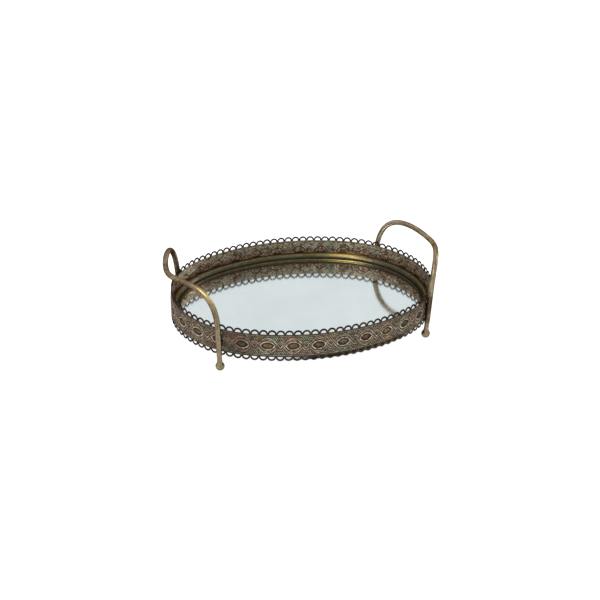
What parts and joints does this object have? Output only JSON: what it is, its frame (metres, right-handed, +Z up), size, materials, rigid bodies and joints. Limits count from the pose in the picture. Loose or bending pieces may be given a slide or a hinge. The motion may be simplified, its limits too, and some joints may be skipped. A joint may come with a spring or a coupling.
{
  "type": "dresser vanity tray",
  "caption": "Oval mirrored vanity tray with a pierced, embossed metal gallery, a moulded bezel and two bowed rod handles whose legs end in ball feet.",
  "frame": {"origin": "on the surface that the feet stand on, under the middle of the tray", "axes": "+X along the long axis towards the right handle, +Y to the back, +Z up"},
  "size_m": [0.3494, 0.2555, 0.1],
  "materials": {
    "gallery_patina": "aged brass with brown, copper and verdigris patina",
    "bezel_patina": "rubbed antique gold over brown",
    "rod_patina": "rubbed antique gold, satin",
    "mirror": "silvered float glass",
    "board": "dark fibre board",
    "clip_steel": "dull plated steel",
    "braze": "dull braze filler"
  },
  "bodies": {
    "root": {"gallery_strip": "gallery_patina", "bezel_ring": "bezel_patina", "mirror_glass": "mirror", "backing_board": "board", "handle_left": "rod_patina", "handle_right": "rod_patina", "board_clip_1": "clip_steel", "board_clip_2": "clip_steel", "board_clip_3": "clip_steel", "board_clip_4": "clip_steel", "board_clip_5": "clip_steel", "board_clip_6": "clip_steel", "board_clip_7": "clip_steel", "board_clip_8": "clip_steel", "ball_foot_front_left": "rod_patina", "ball_foot_front_right": "rod_patina", "ball_foot_back_left": "rod_patina", "ball_foot_back_right": "rod_patina", "braze_front_left": "braze", "braze_front_right": "braze", "braze_back_left": "braze", "braze_back_right": "braze"}
  },
  "joints": []
}
